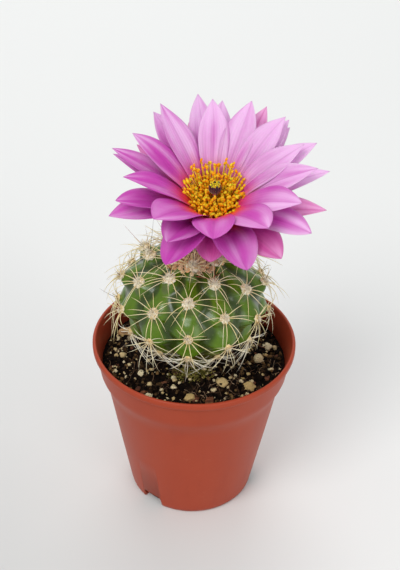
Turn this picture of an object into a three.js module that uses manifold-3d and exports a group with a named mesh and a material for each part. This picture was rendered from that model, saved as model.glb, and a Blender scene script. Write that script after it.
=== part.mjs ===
// A small round cactus in a tapered plastic nursery pot, with one open flower on its crown.
// Millimetres, +Z up. The origin is the centre of the pot's underside and the front is -Y.
// An azimuth is measured in degrees from the front (-Y) towards the right (+X).

import * as THREE from 'three';
import { mergeVertices } from 'three/addons/utils/BufferGeometryUtils.js';
import Module from 'manifold-3d';

// ---------------------------------------------------------------- driving dimensions

const GAP = 0.3; // clearance kept between neighbouring pieces
const SEAT_GAP = 0.25; // and between the soil and what is bedded in it

// Pot: outer wall as [radius, height], then the inner wall back down.
const POT_OUTER = [
  [16.7, 0], [17.5, 0.9], [20.6, 18.5], [23.7, 36.2], [24.6, 38.6], [25.6, 41.0],
  [26.5, 47.6], [27.4, 48.1], [27.5, 49.6], [27.1, 50],
];
const POT_INNER = [
  [26.5, 49.8], [26.2, 48.6], [25.6, 46.6], [24.8, 41.2], [23.6, 38.0], [22.8, 35.6],
  [19.7, 18.5], [16.6, 1.3],
];
const POT_FLOOR = 1.3;
const NOTCH_AZIMUTHS = [-38, 82, 202];
const NOTCH_WIDTH = 6.5;
const NOTCH_HEIGHT = 4.2;
const NOTCH_INNER_RADIUS = 14.5;
const NOTCH_DEPTH = 5;

// Soil: fills the pot, level at the wall and mounded under the plant.
const SOIL_EDGE_HEIGHT = 42.6;
const SOIL_MOUND_HEIGHT = 46.4;
const SOIL_MOUND_RADIUS = 9.5;
const SOIL_RADIUS = 24.6;

// Cactus body: a squat ribbed globe on a short neck.
const STEM_CENTRE = [-0.6, 0, 64];
const STEM_RADIUS = 18.8;
const STEM_HALF_HEIGHT = 13.5;
const NECK_RADIUS = 8.2;
const NECK_BOTTOM = 43.2;
const RIB_COUNT = 12;
const RIB_PHASE = -3.5;
const FURROW_DEPTH = 2.1;
const TUBERCLE_HEIGHT = 0.9;

// Flower: its own frame stands at the throat and leans to the front.
const THROAT = [4.2, 3.2, 88.8];
const FLOWER_LEAN = 15;
const TUBE_LENGTH = 14;

// Petals stand in four shells, from the top one down. In each, they follow one another at a fixed
// step from the first azimuth, and crowd draws them, by so many degrees, together around towards.
// Their lengths differ by up to ragged.
const PETAL_SHELLS = [
  {
    name: 'petal_inner', count: 12, first: -12, step: 30, crowd: 14, towards: 120,
    foot: [3.7, 0.4], length: 29.3, ragged: 0.9, rise: 36.8, width: 7, roll: 8, sag: 1.7,
    colour: 0xd583d8,
  },
  {
    name: 'petal_middle', count: 8, first: 108, step: 31.5, crowd: 14, towards: 120,
    foot: [4.1, -0.6], length: 30.2, ragged: 0.9, rise: 30, width: 6.6, roll: 5, sag: 1.7,
    colour: 0xc773cf,
  },
  {
    name: 'petal_lower', count: 9, first: -24, step: 40, crowd: 0, towards: 0,
    foot: [4.5, -1.6], length: 30, ragged: 0.9, rise: 24.5, width: 6.6, roll: 4, sag: 2.1,
    colour: 0xb860bf,
  },
  {
    name: 'petal_outer', count: 7, first: -4, step: 40, crowd: 0, towards: 0,
    foot: [4.8, -2.7], length: 27.4, ragged: -5, rise: 21, width: 6.2, roll: 3, sag: 1.6,
    colour: 0xb04f86,
  },
];
const FRONT_WIDENING = 1.2; // a petal at the front is this much wider than one at the side
const LEFT_LIFT = 1.6; // and one at the left rises this many degrees more than its shell does

// Pumice lies on the soil along a golden spiral, and bark lies in front and behind.
const GOLDEN_ANGLE = 137.5;
const PUMICE_COUNT = 12;
const PUMICE_FIRST = 30;
const PUMICE_RING = [13.8, 20.8];
const PUMICE_SIZE = [2.7, 2.2, 1.8];
const BARK_AZIMUTHS = [13, 150];
const BARK_DISTANCE = 19.2;
const BARK_SIZE = [5.4, 2.4, 1.2];
const HUSK_AZIMUTH = -105;
const HUSK_DISTANCE = 19.6;

// Grown and broken things aren't alike: a push that differs from one to the next, up to an amount.
const uneven = (index, amount) => amount * Math.sin(index * 2.4 + 1);

// ---------------------------------------------------------------- colours

const look = (colour, roughness) =>
  new THREE.MeshStandardMaterial({ color: colour, roughness, metalness: 0 });

// ---------------------------------------------------------------- geometry helpers

const radians = (degrees) => (degrees * Math.PI) / 180;

function aroundAxis(azimuth, distance, height) {
  const angle = radians(azimuth);
  return new THREE.Vector3(distance * Math.sin(angle), -distance * Math.cos(angle), height);
}

function smoothstep(low, high, value) {
  const t = Math.min(1, Math.max(0, (value - low) / (high - low)));
  return t * t * (3 - 2 * t);
}

// A closed skin over a stack of rings that all have the same number of points.
// Each ring runs anticlockwise seen from the last pole, and a pole closes each end.
function skinOverRings(firstPole, rings, lastPole) {
  const count = rings[0].length;
  const points = [firstPole, ...rings.flat(), lastPole];
  const last = points.length - 1;
  const faces = [];
  for (let i = 0; i < count; i += 1) {
    const j = (i + 1) % count;
    faces.push(0, 1 + j, 1 + i);
    const top = 1 + (rings.length - 1) * count;
    faces.push(last, top + i, top + j);
    for (let row = 0; row < rings.length - 1; row += 1) {
      const a = 1 + row * count;
      const b = a + count;
      faces.push(a + i, a + j, b + j);
      faces.push(a + i, b + j, b + i);
    }
  }
  const geometry = new THREE.BufferGeometry();
  geometry.setFromPoints(points);
  geometry.setIndex(faces);
  return geometry;
}

function horizontalRing(count, pointAt) {
  return Array.from({ length: count }, (_, i) => pointAt((i / count) * 360));
}

// ---------------------------------------------------------------- boolean helpers

const wasm = await Module();
wasm.setup();

function toSolid(geometry) {
  const bare = geometry.clone();
  bare.deleteAttribute('normal');
  bare.deleteAttribute('uv');
  const merged = mergeVertices(bare, 1e-4);
  return new wasm.Manifold(new wasm.Mesh({
    numProp: 3,
    vertProperties: new Float32Array(merged.attributes.position.array),
    triVerts: new Uint32Array(merged.index.array),
  }));
}

function toGeometry(solid) {
  const mesh = solid.getMesh();
  const geometry = new THREE.BufferGeometry();
  geometry.setAttribute('position', new THREE.BufferAttribute(mesh.vertProperties, 3));
  geometry.setIndex(new THREE.BufferAttribute(mesh.triVerts, 1));
  return geometry;
}

// ---------------------------------------------------------------- assembly

const cactus = new THREE.Group();
const flower = new THREE.Group();
flower.position.set(...THROAT);
flower.rotation.x = radians(FLOWER_LEAN);
flower.updateMatrixWorld();
cactus.add(flower);

function place(parent, name, geometry, material) {
  geometry.computeVertexNormals();
  const mesh = new THREE.Mesh(geometry, material);
  mesh.name = name;
  parent.add(mesh);
  return mesh;
}

// ---------------------------------------------------------------- pot

function potShell() {
  const outline = [[0, 0], ...POT_OUTER, ...POT_INNER, [0, POT_FLOOR]];
  const profile = outline.map(([radius, height]) => new THREE.Vector2(radius, height));
  const shell = new THREE.LatheGeometry(profile, 48);
  shell.rotateX(Math.PI / 2);
  return shell;
}

// A drain notch is a round-topped tunnel through the foot of the wall.
function notchCutter(azimuth) {
  const half = NOTCH_WIDTH / 2;
  const outline = new THREE.Shape();
  outline.moveTo(-half, -1);
  outline.lineTo(half, -1);
  outline.lineTo(half, NOTCH_HEIGHT - 1.6);
  outline.quadraticCurveTo(half, NOTCH_HEIGHT, half - 1.6, NOTCH_HEIGHT);
  outline.lineTo(1.6 - half, NOTCH_HEIGHT);
  outline.quadraticCurveTo(-half, NOTCH_HEIGHT, -half, NOTCH_HEIGHT - 1.6);
  outline.closePath();
  const tunnel = new THREE.ExtrudeGeometry(outline, {
    depth: NOTCH_DEPTH, bevelEnabled: false, curveSegments: 3,
  });
  tunnel.rotateX(Math.PI / 2);
  tunnel.translate(0, -NOTCH_INNER_RADIUS, 0);
  tunnel.rotateZ(radians(azimuth));
  return toSolid(tunnel);
}

let pot = toSolid(potShell());
for (const azimuth of NOTCH_AZIMUTHS) {
  pot = pot.subtract(notchCutter(azimuth));
}
place(cactus, 'pot', toGeometry(pot), look(0xa34c37, 0.42));

// ---------------------------------------------------------------- cactus body

// The body's surface: latitude runs from the neck (-90) to the crown (90).
function stemPoint(azimuth, latitude) {
  const turn = azimuth - RIB_PHASE;
  const rib = Math.round(turn / (360 / RIB_COUNT));
  const across = Math.cos(radians(turn * RIB_COUNT));
  const side = smoothstep(-70, -30, latitude) * (1 - smoothstep(62, 88, latitude));
  const stagger = rib % 2 === 0 ? 0 : Math.PI;
  const along = Math.cos(radians(latitude - 6) * 11 + stagger);
  const furrow = FURROW_DEPTH * side * (1 - across) * 0.5;
  const bump = TUBERCLE_HEIGHT * side * along * (1 + across) * 0.5;
  const swell = bump - furrow;
  const radius = (STEM_RADIUS + swell) * Math.cos(radians(latitude));
  const height = (STEM_HALF_HEIGHT + swell * 0.5) * Math.sin(radians(latitude));
  const point = aroundAxis(azimuth, radius, height);
  return point.add(new THREE.Vector3(...STEM_CENTRE));
}

function stemGeometry() {
  const columns = RIB_COUNT * 6;
  const [cx, cy] = STEM_CENTRE;
  const rings = [];
  const neck = [[NECK_RADIUS - 1, NECK_BOTTOM], [NECK_RADIUS, 47.5], [NECK_RADIUS, 50.6]];
  for (const [radius, height] of neck) {
    rings.push(horizontalRing(columns, (azimuth) => {
      const point = aroundAxis(azimuth, radius, height);
      return point.add(new THREE.Vector3(cx, cy, 0));
    }));
  }
  for (let latitude = -58; latitude <= 84; latitude += 8.3) {
    rings.push(horizontalRing(columns, (azimuth) => stemPoint(azimuth, latitude)));
  }
  const foot = new THREE.Vector3(cx, cy, NECK_BOTTOM);
  const crown = new THREE.Vector3(cx, cy, STEM_CENTRE[2] + STEM_HALF_HEIGHT - 0.4);
  return skinOverRings(foot, rings, crown);
}

// ---------------------------------------------------------------- flower tube

function lathe(outline, segments) {
  const profile = outline.map(([radius, height]) => new THREE.Vector2(radius, height));
  const turned = new THREE.LatheGeometry(profile, segments);
  turned.rotateX(Math.PI / 2);
  return turned;
}

// The tube in the flower's frame, optionally grown by a margin to cut a seat for it.
function tubeGeometry(margin) {
  const foot = -TUBE_LENGTH - margin;
  const outer = [[2.7, foot], [2.9, -9.5], [3.5, -6.2], [4.5, -3.3]];
  const outline = [[0, foot], ...outer.map(([radius, height]) => [radius + margin, height])];
  if (margin > 0) {
    outline.push([4.5 + margin, 0], [0, 0]);
  } else {
    outline.push([3.35, 0], [3.0, 0.1], [2.6, -2.4], [1.6, -7.5], [0, -8.4]);
  }
  return lathe(outline, 20);
}

const tube = toSolid(tubeGeometry(0));
const tubeSeat = toSolid(tubeGeometry(GAP)).transform(flower.matrixWorld.toArray());

const stem = toSolid(stemGeometry()).subtract(tubeSeat);

// ---------------------------------------------------------------- crown wool

function woolGeometry() {
  const [cx, cy] = STEM_CENTRE;
  const top = STEM_CENTRE[2] + STEM_HALF_HEIGHT;
  const layers = [[5.4, -0.9], [5.6, 0.2], [4.4, 1.3], [2.4, 1.9]];
  const rings = layers.map(([radius, height]) => horizontalRing(20, (azimuth) => {
    const lump = 1 + 0.09 * Math.cos(radians(azimuth * 5)) + 0.05 * Math.sin(radians(azimuth * 8));
    return aroundAxis(azimuth, radius * lump, top + height).add(new THREE.Vector3(cx, cy, 0));
  }));
  const foot = new THREE.Vector3(cx, cy, top - 0.9);
  const peak = new THREE.Vector3(cx, cy, top + 2.1);
  return skinOverRings(foot, rings, peak);
}

// The wool fills a shallow dish in the crown, cut one gap larger all round.
function woolSeatGeometry() {
  const [cx, cy, cz] = STEM_CENTRE;
  const top = cz + STEM_HALF_HEIGHT;
  const seat = lathe([[0, top - 1.2], [6.9, top - 1.2], [6.9, top + 4], [0, top + 4]], 24);
  seat.translate(cx, cy, 0);
  return seat;
}

place(cactus, 'cactus_stem', toGeometry(stem.subtract(toSolid(woolSeatGeometry()))), look(0x3f6a2c, 0.5));
place(cactus, 'crown_wool', toGeometry(toSolid(woolGeometry()).subtract(tubeSeat)), look(0xb9a07a, 0.95));
place(flower, 'flower_tube', toGeometry(tube), look(0x8a7a52, 0.85));

// ---------------------------------------------------------------- petals

// Half the width along a petal: narrow foot, widest past the middle, pointed tip.
function petalHalfWidth(t, width) {
  const foot = 0.2 * (1 - t);
  const blade = Math.sin(Math.PI * t ** 1.7);
  return (width / 2) * (foot + blade);
}

// One petal of a shell: where it points, how long and wide it is, and how steeply it rises.
function petalOf(shell, index) {
  const spot = shell.first + index * shell.step;
  const azimuth = spot - shell.crowd * Math.sin(radians(spot - shell.towards));
  const front = Math.max(0, Math.cos(radians(azimuth)));
  return {
    azimuth: azimuth + uneven(index, 1.5),
    length: shell.length + uneven(index, shell.ragged),
    rise: shell.rise - LEFT_LIFT * Math.sin(radians(azimuth)) + uneven(index + 4, 0.5),
    width: shell.width + FRONT_WIDENING * front + uneven(index + 7, 0.3),
  };
}

function petalGeometry(shell, index) {
  const { azimuth, length, rise, width } = petalOf(shell, index);
  const stations = [0, 0.14, 0.3, 0.46, 0.6, 0.72, 0.84, 0.94];
  const across = [-1, -0.5, 0, 0.5, 1];
  const thickness = 0.26;
  const outward = aroundAxis(azimuth, 1, 0);
  const sideways = aroundAxis(azimuth + 90, 1, 0);
  const up = new THREE.Vector3(0, 0, 1);
  const start = outward.clone().multiplyScalar(shell.foot[0]).addScaledVector(up, shell.foot[1]);
  const tip = outward.clone().multiplyScalar(length * Math.cos(radians(rise)));
  tip.addScaledVector(up, length * Math.sin(radians(rise)));
  const lift = new THREE.Vector3().crossVectors(sideways, tip.clone().sub(start)).normalize();
  if (lift.z < 0) lift.negate();
  const bend = start.clone().add(tip).multiplyScalar(0.5).addScaledVector(lift, 2 * shell.sag);
  const spine = new THREE.QuadraticBezierCurve3(start, bend, tip);
  const rings = stations.map((t) => {
    const centre = spine.getPoint(t);
    const along = spine.getTangent(t);
    const side = sideways.clone().applyAxisAngle(along, radians(shell.roll));
    const normal = new THREE.Vector3().crossVectors(side, along).normalize();
    if (normal.z < 0) normal.negate();
    const half = petalHalfWidth(t, width);
    const pointAt = (u, offset) => {
      const cup = 0.16 * half * u * u;
      return centre.clone().addScaledVector(side, u * half).addScaledVector(normal, cup + offset);
    };
    const halfThickness = (u) => (thickness / 2) * (1 - u * u);
    const lower = across.map((u) => pointAt(u, -halfThickness(u)));
    const upper = across.slice(1, -1).reverse().map((u) => pointAt(u, halfThickness(u)));
    return [...lower, ...upper];
  });
  return skinOverRings(start, rings, tip);
}

for (const shell of PETAL_SHELLS) {
  for (let index = 0; index < shell.count; index += 1) {
    const name = `${shell.name}_${String(index + 1).padStart(2, '0')}`;
    const blade = toSolid(petalGeometry(shell, index));
    place(flower, name, toGeometry(blade), look(shell.colour, 0.55));
  }
}

// ---------------------------------------------------------------- stamens and pistil

function stamenGeometry() {
  const fringe = (azimuth) => 0.5 * Math.cos(radians(azimuth * 8));
  const layers = [
    [2.2, -2.2, 0], [2.9, 1.2, 0], [4.6, 4.4, 0], [6.9, 6.6, 0.6], [7.9, 7.8, 1],
    [7.0, 8.0, 1], [5.8, 6.4, 0.6], [3.6, 3.9, 0], [2.0, 1.2, 0], [1.4, -1.2, 0],
  ];
  const rings = layers.map(([radius, height, share]) => horizontalRing(
    32, (azimuth) => aroundAxis(azimuth, radius, height + share * fringe(azimuth)),
  ));
  return skinOverRings(new THREE.Vector3(0, 0, -2.4), rings, new THREE.Vector3(0, 0, -1.4));
}

place(flower, 'stamens', stamenGeometry(), look(0xf0a21c, 0.6));

const pistil = lathe([
  [0, -0.9], [0.5, -0.9], [0.5, 6.5], [1.5, 7.2], [1.8, 8.1], [1.4, 9], [0, 9.4],
], 14);
place(flower, 'pistil', pistil, look(0x4a1830, 0.5));

// ---------------------------------------------------------------- soil and what lies on it

function soilHeight(x, y) {
  const distance = Math.hypot(x, y);
  const mound = 1 - smoothstep(SOIL_MOUND_RADIUS, SOIL_RADIUS, distance);
  const crumbs = 0.28 * Math.sin(x * 1.3 + 0.6) * Math.cos(y * 1.1) + 0.16 * Math.sin(x * 2.3 + y * 1.9);
  return SOIL_EDGE_HEIGHT + (SOIL_MOUND_HEIGHT - SOIL_EDGE_HEIGHT) * mound + crumbs;
}

function soilGeometry() {
  const wall = [[16.2, 1.7], [19.35, 18.5], [22.4, 35.6], [23.2, 38.2], [24.4, 41.4]];
  const rings = wall.map(([radius, height]) => horizontalRing(
    36, (azimuth) => aroundAxis(azimuth, radius, height),
  ));
  for (const radius of [SOIL_RADIUS, 22.4, 19.8, 16.8, 13.6, 10.4, 6]) {
    rings.push(horizontalRing(36, (azimuth) => {
      const point = aroundAxis(azimuth, radius, 0);
      point.z = soilHeight(point.x, point.y);
      return point;
    }));
  }
  return skinOverRings(new THREE.Vector3(0, 0, 1.7), rings, new THREE.Vector3(0, 0, SOIL_MOUND_HEIGHT));
}

// An irregular stone: a stretched ball whose points are pushed in and out by its seed.
function stoneGeometry([length, width, height], seed, margin) {
  const bands = [[-50, 0.5], [-10, 0], [32, 0.5], [64, 0]];
  const rings = bands.map(([latitude, shift]) => horizontalRing(7, (azimuth) => {
    const turn = radians(azimuth + shift * 51);
    const wobble = 1 + 0.13 * Math.sin(turn * 2 + seed) + 0.09 * Math.cos(turn * 3 + seed * 2.3);
    const flat = Math.cos(radians(latitude)) * wobble;
    return new THREE.Vector3(
      (length / 2 + margin) * flat * Math.cos(turn),
      (width / 2 + margin) * flat * Math.sin(turn),
      (height / 2 + margin) * Math.sin(radians(latitude)),
    );
  }));
  const pole = height / 2 + margin;
  return skinOverRings(new THREE.Vector3(0, 0, -pole), rings, new THREE.Vector3(0, 0, pole));
}

function neckSeat() {
  const [cx, cy] = STEM_CENTRE;
  const radius = NECK_RADIUS + GAP;
  const bottom = NECK_BOTTOM - GAP;
  const seat = lathe([[0, bottom], [radius, bottom], [radius, 60], [0, 60]], 36);
  seat.translate(cx, cy, 0);
  return toSolid(seat);
}

let soil = toSolid(soilGeometry()).subtract(neckSeat());

// Beds a stone or chip in the soil: the soil gets a seat for it, one gap larger all round.
function bed(name, azimuth, distance, size, seed, material) {
  const spot = aroundAxis(azimuth, distance, 0);
  const turn = radians(seed * 67);
  const level = soilHeight(spot.x, spot.y) + size[2] * 0.22;
  const seat = stoneGeometry(size, seed * 1.7, SEAT_GAP);
  seat.rotateZ(turn);
  seat.translate(spot.x, spot.y, level);
  soil = soil.subtract(toSolid(seat));
  const stone = place(cactus, name, stoneGeometry(size, seed * 1.7, 0), material);
  stone.position.set(spot.x, spot.y, level);
  stone.rotation.z = turn;
}

for (let index = 0; index < PUMICE_COUNT; index += 1) {
  const share = Math.sqrt((index + 0.5) / PUMICE_COUNT);
  const distance = PUMICE_RING[0] + (PUMICE_RING[1] - PUMICE_RING[0]) * share;
  const size = PUMICE_SIZE.map((side) => side * (1 + uneven(index, 0.2)));
  const name = `pumice_${String(index + 1).padStart(2, '0')}`;
  bed(name, PUMICE_FIRST + index * GOLDEN_ANGLE, distance, size, index, look(0xd9cfb8, 0.9));
}

BARK_AZIMUTHS.forEach((azimuth, index) => {
  const name = `bark_chip_0${index + 1}`;
  bed(name, azimuth, BARK_DISTANCE, BARK_SIZE, PUMICE_COUNT + index, look(0x5a3826, 0.9));
});

// A curled dry husk stands on the soil at the left: part of a thin ring.
function huskGeometry() {
  const outline = new THREE.Shape();
  outline.absarc(0, 0, 2.6, radians(-70), radians(150), false);
  outline.absarc(0, 0, 2.1, radians(150), radians(-70), true);
  outline.closePath();
  const husk = new THREE.ExtrudeGeometry(outline, { depth: 2.4, bevelEnabled: false, curveSegments: 8 });
  husk.translate(0, 0, -1.2);
  husk.rotateX(radians(62));
  return husk;
}

const huskSpot = aroundAxis(HUSK_AZIMUTH, HUSK_DISTANCE, 0);
const husk = toSolid(huskGeometry());
place(cactus, 'dry_husk', toGeometry(husk), look(0xb8945a, 0.85));
cactus.getObjectByName('dry_husk').position.set(huskSpot.x, huskSpot.y, 46.8);

// A thin cushion of moss grows against the neck on the front of the mound.
function mossGeometry(margin) {
  const layers = [[5.8, 2.4, -0.5], [5.9, 2.5, 0.4], [4.0, 1.5, 0.9]];
  const rings = layers.map(([length, width, height]) => horizontalRing(14, (azimuth) => {
    const turn = radians(azimuth);
    const edge = 1 + 0.1 * Math.sin(turn * 4 + 1);
    return new THREE.Vector3(
      (length + margin) * edge * Math.cos(turn),
      (width + margin) * edge * Math.sin(turn),
      height + (height < 0 ? -margin : margin),
    );
  }));
  const moss = skinOverRings(
    new THREE.Vector3(0, 0, -0.5 - margin), rings, new THREE.Vector3(0, 0, 1.0 + margin),
  );
  moss.translate(-0.6, -11.2, 46.3);
  return moss;
}

soil = soil.subtract(toSolid(mossGeometry(SEAT_GAP)));
place(cactus, 'moss_cushion', mossGeometry(0), look(0x8a8a3a, 0.95));
place(cactus, 'soil', toGeometry(soil), look(0x2e2019, 0.95));

export default cactus;
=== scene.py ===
# %% [markdown]
# # A flowering round cactus in a nursery pot
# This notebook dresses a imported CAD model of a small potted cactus. The CAD model fixes where every
# piece is and how big it is, so most cells read a node's box or points and build a finer piece there.
# The pot and the soil repeat the profile that the CAD gives them. Lengths are worked out in
# millimetres and turned into metres when a mesh is made.

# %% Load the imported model
import math
import random

import bmesh
import bpy
import numpy as np
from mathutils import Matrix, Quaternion, Vector, noise


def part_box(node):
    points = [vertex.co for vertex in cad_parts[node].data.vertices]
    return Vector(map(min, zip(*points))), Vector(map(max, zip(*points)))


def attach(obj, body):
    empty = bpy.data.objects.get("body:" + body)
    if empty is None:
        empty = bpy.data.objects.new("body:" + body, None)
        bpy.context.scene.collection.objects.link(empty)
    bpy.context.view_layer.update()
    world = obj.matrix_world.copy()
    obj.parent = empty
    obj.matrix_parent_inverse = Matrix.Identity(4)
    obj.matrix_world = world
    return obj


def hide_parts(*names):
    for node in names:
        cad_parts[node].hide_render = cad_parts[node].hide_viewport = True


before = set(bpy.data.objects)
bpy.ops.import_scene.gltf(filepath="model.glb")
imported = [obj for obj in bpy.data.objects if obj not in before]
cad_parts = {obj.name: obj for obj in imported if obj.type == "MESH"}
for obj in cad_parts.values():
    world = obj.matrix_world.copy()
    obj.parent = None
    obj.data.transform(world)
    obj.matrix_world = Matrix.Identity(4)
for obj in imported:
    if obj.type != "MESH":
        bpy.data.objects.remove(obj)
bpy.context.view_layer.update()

MM = 0.001

# %% [markdown]
# ## Small tools
# A plant is thousands of tiny solids: hairs, spines, crumbs. One Blender object for each would be slow,
# so the solids of one kind are gathered in a bundle and become one mesh. Every vertex can carry marks,
# which are named numbers that a material reads later, such as how far along a petal it is.

# %% Gathering many small solids in one mesh
class Bundle:
    """The points, faces and marks of many solids that become one mesh."""

    def __init__(self):
        self.points = []
        self.faces = []
        self.marks = {}
        self.count = 0

    def add(self, points, faces, **marks):
        points = np.asarray(points, float)
        self.points.append(points)
        self.faces.extend([tuple(corner + self.count for corner in face) for face in faces])
        for mark, value in marks.items():
            self.marks.setdefault(mark, []).append(np.broadcast_to(np.asarray(value, float), len(points)))
        self.count += len(points)


def shown(name, data):
    """A new object in the scene that shows the data."""
    thing = bpy.data.objects.new(name, data)
    bpy.context.scene.collection.objects.link(thing)
    return thing


def make_piece(name, bundle, finish, replaces=()):
    """A mesh of the bundle that rides on the root, wears a finish and may stand for CAD nodes."""
    mesh = bpy.data.meshes.new(name)
    mesh.from_pydata((np.concatenate(bundle.points) * MM).tolist(), [], bundle.faces)
    for mark, values in bundle.marks.items():
        layer = mesh.attributes.new(mark, "FLOAT", "POINT")
        layer.data.foreach_set("value", np.concatenate(values).astype(np.float32))
    mesh.shade_smooth()
    mesh.materials.append(finish.material)
    piece = shown(name, mesh)
    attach(piece, "root")
    if replaces:
        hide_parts(*replaces)
    print(f"{name}: {len(mesh.vertices)} points, {len(mesh.polygons)} faces")
    return piece


# %% Rings, tubes and lumps
FULL_TURN = 2 * math.pi


def unit(vector):
    vector = np.asarray(vector, float)
    return vector / np.linalg.norm(vector)


def ring_faces(rows, columns, closed=True):
    """Quads between rows of points; closed rows join their last point to their first."""
    faces = []
    last = columns if closed else columns - 1
    for row in range(rows - 1):
        for column in range(last):
            a = row * columns + column
            b = row * columns + (column + 1) % columns
            faces.append((a, b, b + columns, a + columns))
    return faces


def capped(bottom, rows, top):
    """Points and faces of a closed skin: rings of points between two poles."""
    columns = len(rows[0])
    points = np.concatenate([[bottom], *rows, [top]])
    faces = [tuple(corner + 1 for corner in face) for face in ring_faces(len(rows), columns)]
    last = len(points) - 1
    for i in range(columns):
        j = (i + 1) % columns
        faces.append((0, 1 + j, 1 + i))
        faces.append((last, last - columns + i, last - columns + j))
    return points, faces


def sheet_faces(rows, columns):
    """Faces of a thin closed sheet whose points are one skin in rows, then the other."""
    size = rows * columns
    sheet = ring_faces(rows, columns, closed=False)
    faces = [face[::-1] for face in sheet] + [tuple(corner + size for corner in face) for face in sheet]
    edge = list(range(columns)) + [i * columns + columns - 1 for i in range(1, rows)]
    edge += [size - 1 - j for j in range(1, columns)] + [i * columns for i in range(rows - 2, 0, -1)]
    for k, a in enumerate(edge):
        b = edge[(k + 1) % len(edge)]
        faces.append((b, b + size, a + size, a))
    return faces


def bent(start, knee, end, t):
    """Points on a curve that leaves start towards knee and arrives at end; t is a column of shares."""
    return (1 - t) ** 2 * start + 2 * t * (1 - t) * knee + t ** 2 * end


def tube(path, radii, sides=5):
    """A closed tube along a path, with a radius at each of its points."""
    path = np.asarray(path, float)
    along = np.gradient(path, axis=0)
    along /= np.linalg.norm(along, axis=1)[:, None]
    guide = np.eye(3)[np.argmin(np.abs(along[0]))]
    side = np.cross(along, guide)
    side /= np.linalg.norm(side, axis=1)[:, None]
    up = np.cross(side, along)
    turn = np.arange(sides) / sides * FULL_TURN
    spokes = side[:, None] * np.cos(turn)[:, None] + up[:, None] * -np.sin(turn)[:, None]
    points = (path[:, None] + spokes * np.asarray(radii, float)[:, None, None]).reshape(-1, 3)
    faces = ring_faces(len(path), sides)
    faces.append(tuple(range(sides))[::-1])
    faces.append(tuple((len(path) - 1) * sides + i for i in range(sides)))
    return points, faces


def ball(detail):
    """Points and faces of a unit ball made of triangles."""
    shape = bmesh.new()
    bmesh.ops.create_icosphere(shape, subdivisions=detail, radius=1)
    points = np.array([vertex.co[:] for vertex in shape.verts])
    faces = [tuple(vertex.index for vertex in face.verts) for face in shape.faces]
    shape.free()
    return points, faces


def lump(points, seed, rough=0.25, scale=1.1):
    """Pushes the points of a ball in and out so that it looks broken or grown, not turned."""
    shift = Vector((seed * 3.7, seed * 1.9, seed * 5.3))
    push = [1 + rough * noise.noise(Vector(p) * scale + shift) * 2 for p in points]
    return points * np.array(push)[:, None]


def turned(points, axis_z, spin=0.0):
    """Turns points so that their +Z lies along axis_z, after a spin about it."""
    rotation = Vector(axis_z).to_track_quat("Z", "Y") @ Quaternion((0, 0, 1), spin)
    return points @ np.array(rotation.to_matrix()).T


# %% Directions and boxes
# Leaves, petals and stamens that follow each other stand about this many degrees apart on a plant.
GOLDEN_ANGLE = 137.5


def around(azimuth, distance=1.0, height=0.0):
    """A point at an azimuth in degrees from the front (-Y) towards the right (+X)."""
    angle = np.radians(azimuth)
    return np.stack(np.broadcast_arrays(distance * np.sin(angle), -distance * np.cos(angle), height), -1)


def ease(low, high, value):
    t = np.clip((np.asarray(value, float) - low) / (high - low), 0, 1)
    return t * t * (3 - 2 * t)


def node_box(node):
    low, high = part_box(node)
    return np.array(low) / MM, np.array(high) / MM


def node_points(node):
    return np.array([vertex.co[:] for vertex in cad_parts[node].data.vertices]) / MM


def nodes_named(start):
    return sorted(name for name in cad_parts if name.startswith(start))


# %% [markdown]
# ## Writing materials as sums
# A material in Blender is a graph of nodes. Wiring it by hand in code is long-winded, so a `Signal`
# wraps one socket and lets Python's own operators add the Math nodes, and a `Finish` holds one material
# with its Principled shader. Fixed numbers are set on the shader itself; only what changes over the
# surface is wired in.

# %% Signals and finishes
class Signal:
    """A socket that can be added, subtracted and multiplied."""

    def __init__(self, finish, socket):
        self.finish = finish
        self.socket = socket

    def math(self, operation, first, second=0.0):
        return self.finish.node("ShaderNodeMath", {"operation": operation}, {0: first, 1: second})

    def __add__(self, other):
        return self.math("ADD", self, other)

    def __radd__(self, other):
        return self.math("ADD", other, self)

    def __sub__(self, other):
        return self.math("SUBTRACT", self, other)

    def __rsub__(self, other):
        return self.math("SUBTRACT", other, self)

    def __mul__(self, other):
        return self.math("MULTIPLY", self, other)

    def __rmul__(self, other):
        return self.math("MULTIPLY", other, self)

    def sine(self):
        return self.math("SINE", self)


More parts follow.
